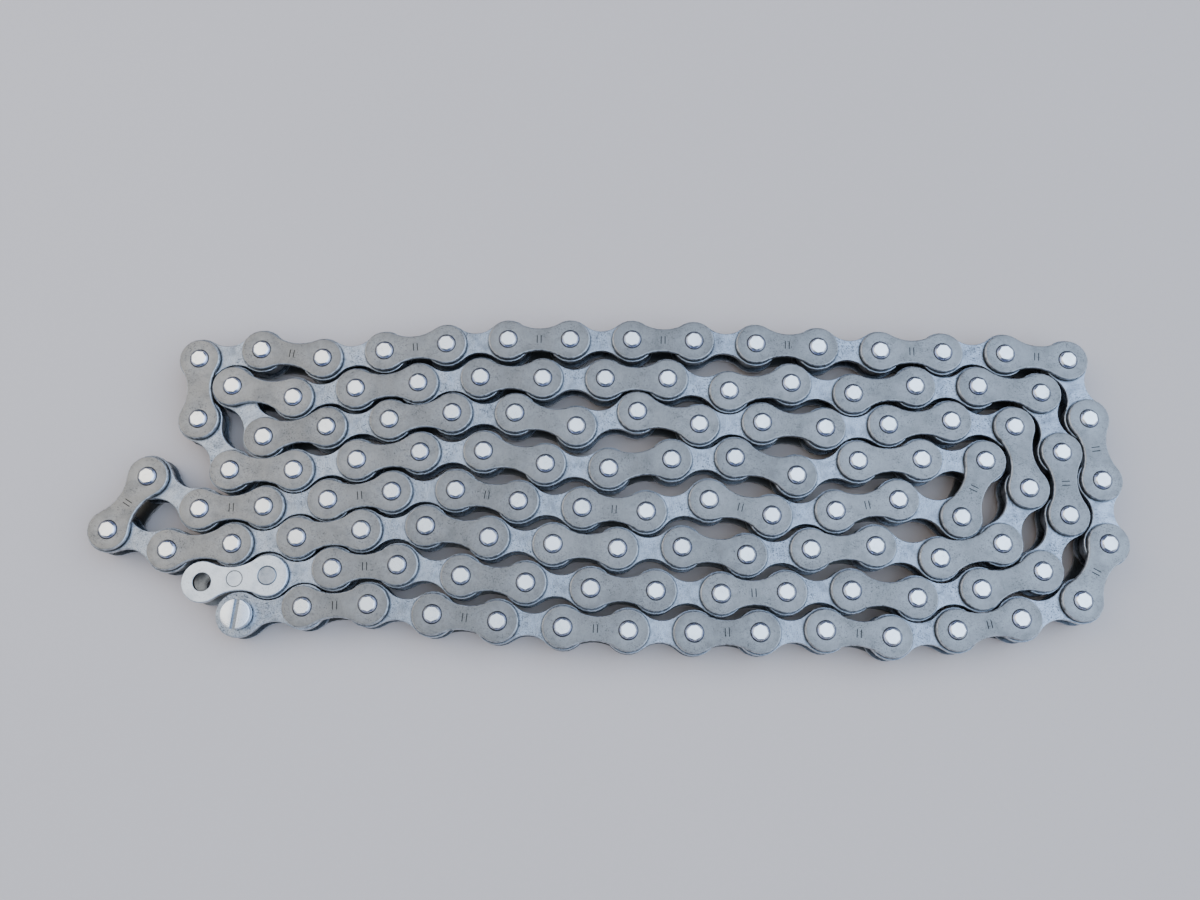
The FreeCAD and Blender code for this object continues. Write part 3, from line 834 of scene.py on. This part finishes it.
    brightness = math_node(tree, "ADD", 1.0, math_node(
        tree, "MULTIPLY", 0.16, math_node(tree, "SUBTRACT", tone, 0.5)))
    brightness = math_node(tree, "ADD", brightness, math_node(tree, "MULTIPLY", grain, 0.55))
    for mark, share in ((smudge, 0.40), (specks, 0.85), (scratches, 0.85), (dirt_and_painted_shade, 0.9)):
        brightness = math_node(tree, "MULTIPLY", brightness, math_node(
            tree, "SUBTRACT", 1.0, math_node(tree, "MULTIPLY", mark, share)))
    shade = add_node(tree, "ShaderNodeCombineColor", {
        "Red": brightness, "Green": brightness, "Blue": brightness}).outputs[0]
    base = colour_mix(tree, "MULTIPLY", 1.0, given["Colour"], shade)
    tree.links.new(colour_mix(tree, "MIX", rim, base, given["Rim colour"]),
                   result.inputs["Colour"])

    roughness = math_node(tree, "ADD", given["Roughness"], math_node(
        tree, "MULTIPLY", smudge, 0.14))
    roughness = math_node(tree, "ADD", roughness, math_node(tree, "MULTIPLY", specks, 0.2))
    roughness = math_node(tree, "ADD", roughness, math_node(tree, "MULTIPLY", grain, 0.25))
    roughness = math_node(tree, "ADD", roughness,
                          math_node(tree, "MULTIPLY", rim, given["Rim roughness"]))
    tree.links.new(roughness, result.inputs["Roughness"])

    wavy = math_node(tree, "MULTIPLY", math_node(tree, "MULTIPLY", given["Waves"], 12.0),
                     noise(tree, mm, 0.30, 1.0))
    height = math_node(tree, "ADD", wavy, grain)
    height = math_node(tree, "SUBTRACT", height, math_node(tree, "MULTIPLY", specks, 0.8))
    height = math_node(tree, "SUBTRACT", height, math_node(tree, "MULTIPLY", scratches, 0.8))
    bump = add_node(tree, "ShaderNodeBump", {
        "Strength": given["Relief"], "Distance": 0.012 * MM, "Height": height})
    tree.links.new(bump.outputs[0], result.inputs["Normal"])
    return tree


def finish_material(name, colour, rim_colour, oil=0.0, **amounts):
    """A steel finish: steel colours with rubbed rims, grime, painted highlight and painted shade,
    on metal, under a little oil.
    """
    material = bpy.data.materials.new(name)
    material.use_nodes = True
    tree = material.node_tree
    shader = tree.nodes["Principled BSDF"]
    shader.inputs["Metallic"].default_value = 1.0
    shader.inputs["Coat Weight"].default_value = oil
    shader.inputs["Coat Roughness"].default_value = 0.22
    worn_and_painted_light = add_node(tree, "ShaderNodeGroup", node_tree=bpy.data.node_groups["Worn steel with painted light"])
    worn_and_painted_light.inputs["Colour"].default_value = (*colour, 1.0)
    worn_and_painted_light.inputs["Rim colour"].default_value = (*rim_colour, 1.0)
    for amount, value in amounts.items():
        worn_and_painted_light.inputs[amount.replace("_", " ").capitalize()].default_value = value
    tree.links.new(worn_and_painted_light.outputs["Colour"], shader.inputs["Base Color"])
    tree.links.new(worn_and_painted_light.outputs["Roughness"], shader.inputs["Roughness"])
    tree.links.new(worn_and_painted_light.outputs["Normal"], shader.inputs["Normal"])
    return material


# --------------------------------------------------------------- operators


def need(kind):
    """The CAD nodes whose names hold kind; an error if there are none."""
    found = sorted(node for node in NODES if kind in node)
    if not found:
        raise RuntimeError(f"the frame has no node for {kind}")
    return found


class CHAIN_OT_prepare(bpy.types.Operator):
    """Builds the node groups that the other steps share"""

    bl_idname = "chain.prepare"
    bl_label = "Prepare node groups"

    def execute(self, context):
        laying_tree()
        wear_group()
        return {"FINISHED"}


class CHAIN_OT_outer_plates(bpy.types.Operator):
    """Lays the outer plates of every closed link"""

    bl_idname = "chain.outer_plates"
    bl_label = "Outer plates"

    def execute(self, context):
        sizes, colours = context.scene.chain_sizes, context.scene.chain_finish
        nodes = need("outer_plates")
        hole = across("coil_pins") / 2
        shape = (plate_end(nodes[0]), sizes.outer_waist, thickness(nodes[0]),
                 sizes.outer_round, sizes.back_round,
                 [(-PITCH / 2, hole, sizes.countersink), (PITCH / 2, hole, sizes.countersink)])
        plain = plate_shape("outer_plate", *shape)
        bars = [(x, sizes.mark_height, sizes.mark_width)
                for x in (-sizes.mark_gap / 2, sizes.mark_gap / 2)]
        marked = plate_shape("marked_outer_plate", *shape, bars=bars)
        finish = finish_material("Outer plate steel", colours.outer, colours.outer_rim_and_highlight,
                                 roughness=0.38, smudges=0.45, specks=0.65, scratches=0.5,
                                 grain=0.8, rim=1.0, waves=0.6, relief=0.7, oil=0.15)
        for node in nodes:
            lay(node, plain, finish, marked_piece=marked)
        return {"FINISHED"}


class CHAIN_OT_inner_plates(bpy.types.Operator):
    """Lays the inner plates of every link"""

    bl_idname = "chain.inner_plates"
    bl_label = "Inner plates"

    def execute(self, context):
        sizes, colours = context.scene.chain_sizes, context.scene.chain_finish
        nodes = need("inner_plates")
        hole = across("coil_bushes") / 2
        plain = plate_shape("inner_plate", plate_end(nodes[0]), sizes.inner_waist,
                            thickness(nodes[0]), sizes.inner_round, sizes.back_round,
                            [(-PITCH / 2, hole, BUSH_HOLE_BREAK),
                             (PITCH / 2, hole, BUSH_HOLE_BREAK)])
        steel = (colours.inner, colours.inner_rim_and_highlight)
        amounts = {"roughness": 0.29, "smudges": 0.8, "specks": 1.0, "scratches": 1.0,
                   "grain": 1.7, "rim": 1.0, "waves": 1.3, "relief": 0.8, "oil": 0.1}
        # Inner plates get a dark ring round each outer plate's foot: painted contact shade,
        # partly oil grime.
        foot = plate_end("coil_outer_plates") / MM / 2
        finish = finish_material("Inner plate steel", *steel, foot_radius=foot, **amounts)
        open_finish = finish_material("Open inner plate steel", *steel, **amounts)
        for node in nodes:
            lay(node, plain, open_finish if node == OPEN_END else finish)
        return {"FINISHED"}


class CHAIN_OT_pins(bpy.types.Operator):
    """Sets the riveted pins"""

    bl_idname = "chain.pins"
    bl_label = "Pins"

    def execute(self, context):
        sizes, colours = context.scene.chain_sizes, context.scene.chain_finish
        nodes = need("_pins")
        pin = pin_shape("pin", across(nodes[0]), thickness(nodes[0]), sizes.pin_round,
                        sizes.pin_facets)
        # The pin's rounded rim is mixed towards a painted blue reflection.
        finish = finish_material("Pin steel", colours.pin, colours.pin_rim_painted_reflection,
                                 roughness=0.24, smudges=0.25, specks=0.2, scratches=0.15,
                                 grain=0.2, rim=0.7, rim_roughness=-0.05, waves=0.1,
                                 relief=0.25)
        for node in nodes:
            lay(node, pin, finish, turn_play=sizes.turn_play,
                hammering=sizes.hammering)
        return {"FINISHED"}


class CHAIN_OT_rollers(bpy.types.Operator):
    """Sets the rollers, and gives the bushes inside them their steel"""

    bl_idname = "chain.rollers"
    bl_label = "Rollers and bushes"

    def execute(self, context):
        sizes, colours = context.scene.chain_sizes, context.scene.chain_finish
        outside = across("link02_roller_near") / 2
        inside = across("link02_bushes") / 2 + sizes.roller_play
        top = thickness("link02_roller_near") / 2
        eased = sizes.roller_round
        corners = [(inside, -top, 0.0)]
        corners += [(outside - i, d - top, w) for i, d, w in reversed(list(rounded(eased)))]
        corners += [(outside - i, top - d, w) for i, d, w in rounded(eased)]
        corners.append((inside, top, 0.0))
        roller = turned_shape("roller", corners, closed=False)
        # The rollers get a darkened colour, partly painted shade in the gaps, and the outer
        # plates' rim colour, partly a painted highlight.
        finish = finish_material("Roller steel", colours.roller, colours.outer_rim_and_highlight,
                                 roughness=0.34, smudges=0.5, specks=0.4, scratches=0.4,
                                 grain=0.5, rim=0.5, relief=0.5, oil=0.2)
        for node in ROLLER_NODES:
            lay(node, roller, finish, turn_play=sizes.turn_play)
        for node in need("_bushes"):
            NODES[node].data.materials.clear()
            NODES[node].data.materials.append(finish)
        return {"FINISHED"}


class CHAIN_OT_connecting_link(bpy.types.Operator):
    """Builds the open connecting link: two plates and the rivet between them"""

    bl_idname = "chain.connecting_link"
    bl_label = "Connecting link"

    def execute(self, context):
        sizes, colours = context.scene.chain_sizes, context.scene.chain_finish
        finish = finish_material("Connecting link nickel", colours.connecting,
                                 colours.connecting_rim, roughness=0.3, smudges=0.45,
                                 specks=0.35, scratches=0.4, grain=0.45, rim=0.7,
                                 waves=0.5, relief=0.5)
        rivet_hole = across("connecting_pin") / 2
        for node, hole in (("connecting_plate_upper", rivet_hole),
                           ("connecting_plate_lower", sizes.tapped_dia / 2)):
            plate = plate_shape(
                "connecting_plate", plate_end(node), sizes.outer_waist, thickness(node),
                sizes.connecting_round, sizes.back_round,
                [(-PITCH / 2, hole, sizes.hole_break),
                 (PITCH / 2, rivet_hole, sizes.rivet_gap)],
                rings=[(0.0, sizes.ring_mark_dia / 2, sizes.mark_width)])
            lay(node, plate, finish)
        rivet = pin_shape("rivet", across("connecting_pin"), thickness("connecting_pin"),
                          sizes.rivet_gap, RIVET_FACETS)
        rivet_finish = finish_material("Rivet nickel", colours.rivet,
                                       colours.connecting_rim, roughness=0.36, smudges=0.6,
                                       specks=0.3, scratches=0.3, grain=0.3, rim=0.2,
                                       waves=1.0, relief=1.0)
        lay("connecting_pin", rivet, rivet_finish)
        return {"FINISHED"}


class CHAIN_OT_screw(bpy.types.Operator):
    """Builds the slotted connecting screw"""

    bl_idname = "chain.screw"
    bl_label = "Connecting screw"

    def execute(self, context):
        sizes, colours = context.scene.chain_sizes, context.scene.chain_finish
        low, high = (corner.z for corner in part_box("connecting_screw"))
        screw = screw_shape("screw", low, high, sizes)
        cut_slot(screw, sizes.slot_width, sizes.slot_depth, sizes.slot_heading)
        finish = finish_material("Screw nickel", colours.screw, colours.screw_rim,
                                 roughness=0.2, smudges=0.25, specks=0.3, scratches=0.5,
                                 grain=0.25, rim=0.8, relief=0.6)
        lay("connecting_screw", screw, finish)
        return {"FINISHED"}


class CHAIN_OT_stage(bpy.types.Operator):
    """Sets the pale floor, the soft light and the camera"""

    bl_idname = "chain.stage"
    bl_label = "Stage"

    def execute(self, context):
        scene = context.scene
        floor = bpy.data.objects.new("floor", bpy.data.meshes.new("floor"))
        side = FLOOR_SIZE / 2
        floor.data.from_pydata([(-side, -side, 0), (side, -side, 0), (side, side, 0),
                                (-side, side, 0)], [], [(0, 1, 2, 3)])
        floor.location.z = CAD_BOX[0].z - 0.02 * MM
        floor.data.materials.append(floor_material())
        scene.collection.objects.link(floor)
        for name, place, size, power, colour in LIGHTS:
            lamp = bpy.data.lights.new(name, "AREA")
            lamp.shape = "RECTANGLE"
            lamp.size, lamp.size_y = size
            lamp.energy = power
            lamp.color = colour
            holder = bpy.data.objects.new(name, lamp)
            holder.location = place
            holder.rotation_euler = (-Vector(place)).to_track_quat("-Z", "Y").to_euler()
            scene.collection.objects.link(holder)
        scene.world = sky_world()
        camera = bpy.data.cameras.new("camera")
        camera.lens = CAMERA_LENS
        camera.clip_start = 0.01
        holder = bpy.data.objects.new("camera", camera)
        holder.location = CAMERA_PLACE
        holder.rotation_euler = [math.radians(angle) for angle in CAMERA_TURN]
        scene.collection.objects.link(holder)
        scene.camera = holder
        return {"FINISHED"}


# --------------------------------------------------------------- stage


def floor_material():
    material = bpy.data.materials.new("Pale floor")
    material.use_nodes = True
    tree = material.node_tree
    shader = tree.nodes["Principled BSDF"]
    place = add_node(tree, "ShaderNodeTexCoord").outputs["Object"]
    cloud = noise(tree, place, 9.0, 3.0)
    fibre = noise(tree, place, 900.0, 3.0, 0.6)
    tone = math_node(tree, "ADD", math_node(tree, "MULTIPLY", cloud, 0.05),
                     math_node(tree, "MULTIPLY", fibre, 0.05))
    colour = colour_mix(tree, "MIX", math_node(tree, "MULTIPLY", tone, 10.0),
                        (0.55, 0.465, 0.42, 1.0), (0.63, 0.53, 0.475, 1.0))
    tree.links.new(colour, shader.inputs["Base Color"])
    tree.links.new(ramp(tree, fibre, 0.3, 0.7, 0.6, 0.75), shader.inputs["Roughness"])
    bump = add_node(tree, "ShaderNodeBump", {"Strength": 0.3, "Distance": 0.1 * MM,
                                             "Height": fibre})
    tree.links.new(bump.outputs[0], shader.inputs["Normal"])
    return material


def sky_world():
    """A soft sky, brightest overhead and bluer to the east, dim low in the north and south."""
    world = bpy.data.worlds.new("Sky")
    world.use_nodes = True
    tree = world.node_tree
    way = add_node(tree, "ShaderNodeSeparateXYZ", {
        0: add_node(tree, "ShaderNodeTexCoord").outputs["Generated"]}).outputs
    east, north = (math_node(tree, "MULTIPLY", way[axis], way[axis]) for axis in "XY")
    sideways = math_node(tree, "DIVIDE", east, math_node(
        tree, "ADD", math_node(tree, "ADD", east, north), 0.001))
    sideways = ramp(tree, sideways, 0.25, 0.8)
    low = colour_mix(tree, "MIX", sideways, (*NORTH_SOUTH, 1.0), (*EAST_WEST, 1.0))
    height = math_node(tree, "ADD", way["Z"], math_node(tree, "MULTIPLY", sideways, 0.35))
    overhead = colour_mix(tree, "MIX", ramp(tree, way["X"], -0.5, 0.5),
                          (*ZENITH_WEST, 1.0), (*ZENITH_EAST, 1.0))
    tree.links.new(colour_mix(tree, "MIX", ramp(tree, height, 0.56, 0.88), low, overhead),
                   tree.nodes["Background"].inputs["Color"])
    return world


# --------------------------------------------------------------- add-on


STEPS = (
    CHAIN_OT_prepare,
    CHAIN_OT_outer_plates,
    CHAIN_OT_inner_plates,
    CHAIN_OT_pins,
    CHAIN_OT_rollers,
    CHAIN_OT_connecting_link,
    CHAIN_OT_screw,
    CHAIN_OT_stage,
)


class CHAIN_PT_panel(bpy.types.Panel):
    """Lists the steps that build the chain"""

    bl_idname = "CHAIN_PT_panel"
    bl_label = "Roller chain"
    bl_space_type = "VIEW_3D"
    bl_region_type = "UI"
    bl_category = "Roller Chain"

    def draw(self, context):
        for settings in (context.scene.chain_sizes, context.scene.chain_finish):
            for name in type(settings).__annotations__:
                self.layout.prop(settings, name)
        for step in STEPS:
            self.layout.operator(step.bl_idname)


CLASSES = (ChainSizes, ChainFinish, *STEPS, CHAIN_PT_panel)
MASTERS = ("outer_plate", "marked_outer_plate", "inner_plate", "pin", "roller",
           "connecting_plate", "connecting_plate.001", "rivet", "screw")


def register():
    for item in CLASSES:
        bpy.utils.register_class(item)
    bpy.types.Scene.chain_sizes = PointerProperty(type=ChainSizes)
    bpy.types.Scene.chain_finish = PointerProperty(type=ChainFinish)


def unregister():
    del bpy.types.Scene.chain_finish
    del bpy.types.Scene.chain_sizes
    for item in reversed(CLASSES):
        bpy.utils.unregister_class(item)


def main():
    register()
    for step in STEPS:
        group, name = step.bl_idname.split(".")
        getattr(getattr(bpy.ops, group), name)()
    for master in [item for item in bpy.data.objects if item.name in MASTERS]:
        bpy.data.objects.remove(master)


if __name__ == "__main__":
    main()
